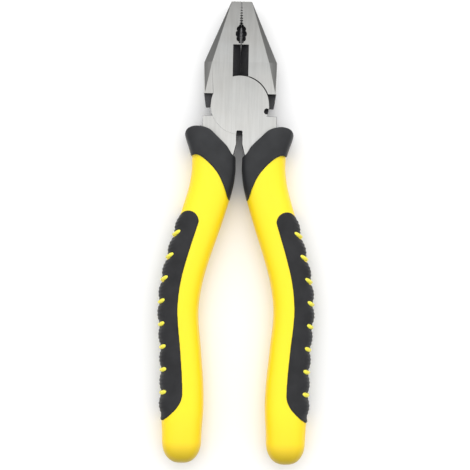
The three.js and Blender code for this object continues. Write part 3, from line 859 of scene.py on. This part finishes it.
def makeGrip():
    downs, shrink = roundedDowns(g["startDown"], g["rings"] - 1)
    downs = np.insert(downs, 0, downs[0])
    shrink = np.insert(shrink, 0, 0.0)
    guide = newPiece("right_grip", [(gripMiddle(d), -d, middle) for d in downs], [])
    for name, values in (("half", gripHalf(downs) * shrink), ("thick", g["halfThick"] * shrink)):
        attribute = guide.data.attributes.new(name, "FLOAT", "POINT")
        attribute.data.foreach_set("value", np.asarray(values * mm, np.float32))
    growTree(guide, gripTree(), {"Rings": g["rings"], "Sides": g["sides"], "Squareness": g["square"],
                                 "Finish": yellowFinish})
    faceOut(guide)
    lip = [(x, y - g["underLip"]) for x, y in flow(collarParts["mouth"])]
    lip = [(-farAway, lip[0][1])] + lip + [(2 * farAway, lip[-1][1]), (2 * farAway, 0), (-farAway, 0)]
    cut(guide, prism(lip, -farAway, farAway + middle))
    # the sleeve steps in under the collar, and carries on a little way beneath its lip
    under = [(x, y + g["stepLip"]) for x, y in flow(collarParts["foot"])]
    around = prism(flow(collarParts["mouth"]) + under, -farAway, farAway + middle)
    cut(around, gripSolid(-g["stepIn"], collarParts["from"], 90))
    cut(guide, around)
    return shadeByAngle(paint(faceOut(guide), yellowFinish), 40)


# Collar and pad: soft mouldings over the yellow grip

collarParts = {
    "voxel": 0.34, "smoothing": 4, "wallIn": 1.3, "proud": 0.12, "from": 8, "to": 46,
    "mouth": [(-2.95, -24), (2.4, -22), (5.3, -18), (9.3, -14), (13.4, -10.5), (18.6, -9.4), (22.4, -10.5),
              (23.8, -13), (23.3, -16), (24.5, -19.5)],
    "foot": [(27.05, -21.6), (22.05, -22.4), (18.25, -21.9), (14.05, -24.6), (9.05, -30.2), (6.15, -36),
             (4.05, -41.8), (0.55, -44.2)],
    "half": [[8, 11.75], [13, 11.75], [19.3, 10.35], [23, 9.65], [28, 9.6], [46, 9.8]],
    "centre": [[8, 12.05], [13, 12.05], [20, 11.45], [26, 11.05], [34, 0], [46, 0]],
    "thick": [[8, 8.1], [13, 8.1], [22, 7.6], [46, 7.45]],
    "square": [[8, 4], [26, 4], [46, 2.6]],
}


def flow(points, steps=12):
    # a curve through the points
    pts = [np.array(p, float) for p in points]
    pts = [2 * pts[0] - pts[1]] + pts + [2 * pts[-1] - pts[-2]]
    line = []
    for a, b, c, d in zip(pts, pts[1:], pts[2:], pts[3:]):
        for t in np.linspace(0, 1, steps, endpoint=False):
            line.append(0.5 * (2 * b + (c - a) * t + (2 * a - 5 * b + 4 * c - d) * t * t
                               + (3 * b - a - 3 * c + d) * t ** 3))
    return [tuple(p) for p in line] + [tuple(pts[-2])]


def evenSkin(piece, voxel, smoothing):
    # an even fine skin with softly rounded lips, as rubber comes out of its mould
    grid = piece.modifiers.new("evenSkin", "REMESH")
    grid.mode, grid.voxel_size = "VOXEL", voxel * mm
    soften = piece.modifiers.new("soften", "SMOOTH")
    soften.factor, soften.iterations = 0.5, smoothing
    bake(piece)
    for face in piece.data.polygons:
        face.use_smooth = True
    return piece


def points(piece):
    values = np.empty(len(piece.data.vertices) * 3, np.float32)
    piece.data.vertices.foreach_get("co", values)
    return values.reshape(-1, 3).astype(float) / mm


def setPoints(piece, values):
    piece.data.vertices.foreach_set("co", (values * mm).astype(np.float32).ravel())
    piece.data.update()


def makeCollar():
    k = collarParts
    half, thick, square = smooth(k["half"]), smooth(k["thick"]), smooth(k["square"])
    centre = smooth([[d, float(gripMiddle(d)) if x == 0 else x] for d, x in k["centre"]])
    downs = np.linspace(k["from"], k["to"], 100)
    rings = []
    for down in downs:
        # never thinner than the grip beneath it
        reach = float(gripHalf(down)) + k["proud"]
        left = min(centre(down) - half(down), gripMiddle(down) - reach)
        right = max(centre(down) + half(down), gripMiddle(down) + reach)
        rings.append(section((left + right) / 2, (right - left) / 2, thick(down), square(down), down, 96))
    body = faceOut(loft(rings, "right_collar"))
    outline = flow(k["mouth"]) + flow(k["foot"])
    combine(body, prism(outline, -farAway, farAway + middle), "INTERSECT")
    cut(body, gripSolid(-k["wallIn"], k["from"], 60))
    return evenSkin(body, k["voxel"], k["smoothing"])


padParts = {
    "top": 46.3, "end": 138.2, "endTaper": 12.2, "endSweep": 0.86, "insetTop": 0.4, "insetEnd": -0.3,
    "insetFrom": 80, "insetOver": 40, "thick": 2.4, "proud": 0.4,
    "voxel": 0.36, "smoothing": 4, "scallop": 1.15, "tread": 0.12, "treadEvery": 1.7,
    "crownIn": 3.2, "crownWide": 4.6, "crownDrop": 4.2, "crownDeep": 4.8,
}
ribParts = {
    "count": 8, "firstDown": 54.9, "lastDown": 125, "reach": 2.7, "tiltTop": 38, "tiltEnd": 24,
    "girthEnd": 1.2, "girthSide": 0.5, "proud": 0.45, "steps": 31, "sides": 14,
}


def padEdge(down):
    k = padParts
    intoEnd = np.clip(1 - (k["end"] - down) / k["endTaper"], 0, 1)
    share = np.clip((down - k["insetFrom"]) / k["insetOver"], 0, 1)
    inset = k["insetTop"] + (k["insetEnd"] - k["insetTop"]) * share
    inner, outer = gripMiddle(down) + inset, gripMiddle(down) + gripHalf(down) + 1
    return inner + (outer - inner) * k["endSweep"] * intoEnd ** 2


def ribDown(number):
    share = number / (ribParts["count"] - 1)
    return ribParts["firstDown"] + share * (ribParts["lastDown"] - ribParts["firstDown"])


def ribTilt(down):
    share = (down - ribParts["firstDown"]) / (ribParts["lastDown"] - ribParts["firstDown"])
    return np.tan(np.radians(ribParts["tiltTop"] + share * (ribParts["tiltEnd"] - ribParts["tiltTop"])))


def makePad():
    k = padParts
    pad = gripSolid(k["proud"], 40, 160, name="right_pad")
    cut(pad, gripSolid(k["proud"] - k["thick"], 36, 120), solver="MANIFOLD")
    downs = k["end"] - (k["end"] - k["top"] - k["crownDeep"]) * (1 - np.cos(np.linspace(0, np.pi / 2, 120)))
    outline = [(float(padEdge(d)), -float(d)) for d in downs[::-1]]
    crown = float(gripMiddle(k["top"]) + gripHalf(k["top"])) - k["crownIn"]
    arch = [(crown + k["crownWide"] * math.sin(a), -k["top"] - k["crownDrop"] * (1 - math.cos(a)))
            for a in np.radians(np.linspace(80, 0, 14))]
    inner = outline[0][0] - crown
    arch += [(crown + inner * math.sin(a), -k["top"] - k["crownDeep"] * (1 - math.cos(a)))
             for a in np.radians(np.linspace(8, 84, 14))]
    outline += [(2 * farAway, -k["end"]), (2 * farAway, -k["top"] - 4 * k["crownDrop"])] + arch
    combine(pad, prism(outline, -farAway, farAway + middle), "INTERSECT")
    evenSkin(pad, k["voxel"], k["smoothing"])
    spots = points(pad)
    down = -spots[:, 1]
    outX, outZ = spots[:, 0] - gripMiddle(down), spots[:, 2] - middle
    across, up = outX / gripHalf(down), outZ / g["halfThick"]
    skin = (np.abs(across) ** g["square"] + np.abs(up) ** g["square"]) ** (1 / g["square"])
    turn = np.degrees(np.arctan2(np.abs(up) ** (g["square"] / 2), np.abs(across) ** (g["square"] / 2)))
    inFrom = np.clip(ribParts["reach"] - (gripHalf(down) - outX), 0, ribParts["reach"])
    every = (ribParts["lastDown"] - ribParts["firstDown"]) / (ribParts["count"] - 1)
    phase = (down - inFrom * ribTilt(down) - ribParts["firstDown"]) / every
    onSide = np.clip((62 - turn) / 30, 0, 1) * (skin > 0.97)
    nearEnds = np.clip((down - k["top"]) / 4, 0, 1) * np.clip((k["end"] - down) / 4, 0, 1)
    swell = k["scallop"] * (np.abs(np.sin(np.pi * phase)) - 0.62)
    tread = k["tread"] * np.sin(2 * np.pi * (down - inFrom * ribTilt(down)) / k["treadEvery"])
    rise = onSide * nearEnds * (swell + tread * np.clip((50 - turn) / 20, 0, 1))
    length = np.hypot(outX, outZ)
    spots[:, 0] += rise * outX / length
    spots[:, 2] += rise * outZ / length
    setPoints(pad, spots)
    return pad


def ribTree():
    # Geometry Nodes: a rounded rib along each path, thick at its ends and thin on the side
    tree, given, result = newTree("gripRibs", [
        ("Rib sides", "NodeSocketInt", ribParts["sides"]), ("Rib scale", "NodeSocketFloat", 1.0),
        ("Finish", "NodeSocketMaterial", None),
    ])
    path = addNode(tree, "GeometryNodeMeshToCurve", Mesh=given["Geometry"])
    girth = addNode(tree, "GeometryNodeInputNamedAttribute", {"data_type": "FLOAT"}, Name="girth")
    ring = addNode(tree, "GeometryNodeCurvePrimitiveCircle", Resolution=given["Rib sides"],
                   Radius=given["Rib scale"])
    solid = addNode(tree, "GeometryNodeCurveToMesh", Curve=path.outputs[0], i1=ring.outputs[0],
                    Scale=girth.outputs[0])
    solid.inputs["Fill Caps"].default_value = True
    real = addNode(tree, "GeometryNodeRealizeInstances", Geometry=solid.outputs[0])
    painted = addNode(tree, "GeometryNodeSetMaterial", Geometry=real.outputs[0], Material=given["Finish"])
    tree.links.new(painted.outputs[0], result["Geometry"])
    return tree


def makeRibs():
    k = ribParts
    vertices, edges, girths = [], [], []
    for number in range(k["count"]):
        down0 = ribDown(number)
        half = float(gripHalf(down0))
        endTurn = math.acos(((half - k["reach"]) / half) ** (g["square"] / 2))
        slope = float(ribTilt(down0))
        for step, t in enumerate(np.linspace(-1, 1, k["steps"])):
            turn = t * endTurn
            girth = k["girthSide"] + (k["girthEnd"] - k["girthSide"]) * abs(t) ** 0.7
            grow = padParts["proud"] + k["proud"] - girth
            cosine = math.cos(turn) ** (2 / g["square"])
            down = down0 + (k["reach"] - half * (1 - cosine)) * slope
            x = gripMiddle(down) + cosine * (gripHalf(down) + grow)
            sine = math.copysign(abs(math.sin(turn)) ** (2 / g["square"]), turn)
            z = middle + sine * (g["halfThick"] + grow)
            blunt = math.sqrt(max(0.0, 1 - max(0.0, (abs(t) - 0.6) / 0.4) ** 2))
            vertices.append((float(x), -down, float(z)))
            girths.append(max(girth * blunt, 0.05) * mm)
            if step:
                edges.append((len(vertices) - 2, len(vertices) - 1))
    mesh = bpy.data.meshes.new("right_ribs")
    mesh.from_pydata((np.array(vertices) * mm).tolist(), edges, [])
    ribs = bpy.data.objects.new("right_ribs", mesh)
    bpy.context.scene.collection.objects.link(ribs)
    attribute = mesh.attributes.new("girth", "FLOAT", "POINT")
    attribute.data.foreach_set("value", np.array(girths, np.float32))
    growTree(ribs, ribTree(), {"Rib sides": k["sides"], "Rib scale": 1.0, "Finish": ribFinish})
    return shadeByAngle(faceOut(ribs), 60)


# Put together

forging = makeForging()
join(forging, makeTang())
forging = tidyMesh(forging)
print("forging cut:", len(forging.data.polygons), "faces")
softenEdges(forging)
paintSteel(forging)
shadeByAngle(forging, 25, weighted=True)
rivet = faceOut(spun(rivetProfile(h["rivetPlay"], 0), name="rivet"))
paint(rivet, rivetFinish)
shadeByAngle(rivet, 25)
print("rivet made")
grip = makeGrip()
print("grip moulded:", len(grip.data.polygons), "faces")
collar = makeCollar()
paint(collar, collarFinish)
print("collar moulded:", len(collar.data.polygons), "faces")
pad = makePad()
paint(pad, padFinish)
print("pad moulded:", len(pad.data.polygons), "faces")
ribs = makeRibs()
print("ribs moulded:", len(ribs.data.polygons), "faces")

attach(rivet, "front_half")
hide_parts("pivot_rivet")
for front, backName, frontNode, backNode, slot in (
        (forging, "back_half", "front_half_forging", "back_half_forging", "jaw_steel"),
        (grip, "left_grip", "right_grip_sleeve", "left_grip_sleeve", "yellow_grip"),
        (ribs, "left_ribs", "right_grip_sleeve", "left_grip_sleeve", "yellow_grip"),
        (collar, "left_collar", "right_guard_collar", "left_guard_collar", "black_collar"),
        (pad, "left_pad", "right_grip_pad", "left_grip_pad", "black_pad")):
    back = turnedOver(front, backName)
    for piece, body, node in ((front, "front_half", frontNode), (back, "back_half", backNode)):
        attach(piece, body)
        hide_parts(node)
print("both halves in place")


# Camera, light and floor

studio = {
    "lens": 100, "height": 0.579, "aimX": -1.05, "aimY": -56.6, "roll": 1.1,
    "skyLow": 0.55, "skyRise": 0.95, "skyLean": 0.58, "keySize": 0.8, "keyPower": 1.2, "keyHeight": 0.8,
    "keyUp": 0.5, "floorReach": 3, "floorTone": 0.93,
}


def makeStudio():
    s = studio
    scene = bpy.context.scene
    scene.view_settings.view_transform = "Standard"
    scene.world = world = bpy.data.worlds.new("studioSky")
    world.use_nodes = True
    tree = world.node_tree
    look = addNode(tree, "ShaderNodeSeparateXYZ",
                   Vector=addNode(tree, "ShaderNodeTexCoord").outputs["Generated"])
    rise = maths(tree, "MULTIPLY", maths(tree, "MAXIMUM", look.outputs["Z"], 0.0), s["skyRise"])
    lean = maths(tree, "MULTIPLY", look.outputs["Y"], s["skyLean"])
    light = maths(tree, "ADD", maths(tree, "ADD", rise, lean), s["skyLow"])
    tree.links.new(light, tree.nodes["Background"].inputs["Strength"])
    tree.nodes["Background"].inputs["Color"].default_value = (1, 1, 1, 1)
    key = bpy.data.lights.new("softbox", "AREA")
    key.shape, key.size, key.size_y = "RECTANGLE", s["keySize"], s["keySize"]
    key.energy = s["keyPower"]
    lamp = bpy.data.objects.new("softbox", key)
    lamp.location = (0, s["keyUp"], s["keyHeight"])
    aim = Vector((0, s["aimY"] * mm, 0)) - lamp.location
    lamp.rotation_euler = aim.to_track_quat("-Z", "Y").to_euler()
    scene.collection.objects.link(lamp)
    camera = bpy.data.objects.new("camera", bpy.data.cameras.new("camera"))
    camera.data.lens = s["lens"]
    camera.data.clip_start = 0.01
    camera.location = (s["aimX"] * mm, s["aimY"] * mm, s["height"])
    camera.rotation_euler = (0, 0, math.radians(s["roll"]))
    scene.collection.objects.link(camera)
    scene.camera = camera
    far = s["floorReach"]
    floor = newPiece("floor", [(-far, -far, 0), (far, -far, 0), (far, far, 0), (-far, far, 0)],
                     [(0, 1, 2, 3)], 1)
    floor.location.z = cadBox[0][2]
    material, tree, shader, place = newFinish("paleFloor")
    shader.inputs["Base Color"].default_value = (*[s["floorTone"]] * 3, 1)
    shader.inputs["Roughness"].default_value = 0.6
    floor.data.materials.append(material)


makeStudio()
print("studio set")
